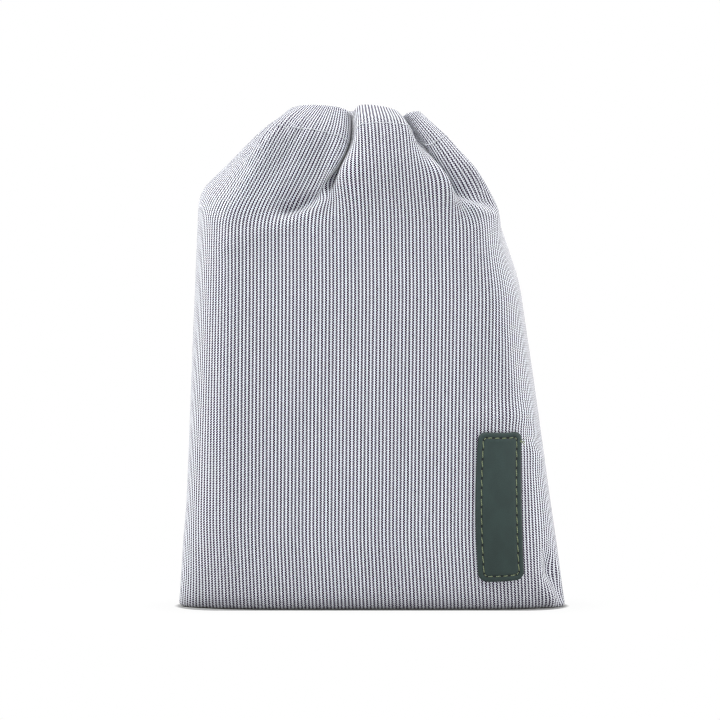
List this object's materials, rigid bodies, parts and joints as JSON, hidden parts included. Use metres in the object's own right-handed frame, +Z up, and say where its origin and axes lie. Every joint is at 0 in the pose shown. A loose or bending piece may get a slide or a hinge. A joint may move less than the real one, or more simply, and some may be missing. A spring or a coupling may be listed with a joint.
{
  "type": "drawstring pouch",
  "caption": "Small standing fabric drawstring pouch in fine vertical stripes, filled body narrowing to a gathered folded neck, with a stitched leather label near a lower corner.",
  "frame": {"origin": "on the floor, in the middle of the pouch's overall box, under its filled base", "axes": "+X to the right as seen from the front, +Y away from the front with the label, +Z up towards the mouth"},
  "size_m": [0.149, 0.055, 0.1943],
  "materials": {
    "striped_cloth": "plain-woven cotton ticking, fine white and grey-purple stripes",
    "cord": "undyed cotton cord",
    "label_leather": "matte dark green leather, fine grain",
    "label_thread": "olive sewing thread",
    "white_thread": "off-white sewing thread"
  },
  "bodies": {
    "root": {"front_panel": "striped_cloth", "back_panel": "striped_cloth", "drawstring": "cord", "leather_label": "label_leather", "label_stitching": "label_thread", "channel_stitching_front": "white_thread", "channel_stitching_back": "white_thread", "left_seam_stitching": "white_thread", "right_seam_stitching": "white_thread", "bottom_seam_stitching": "white_thread"}
  },
  "joints": []
}
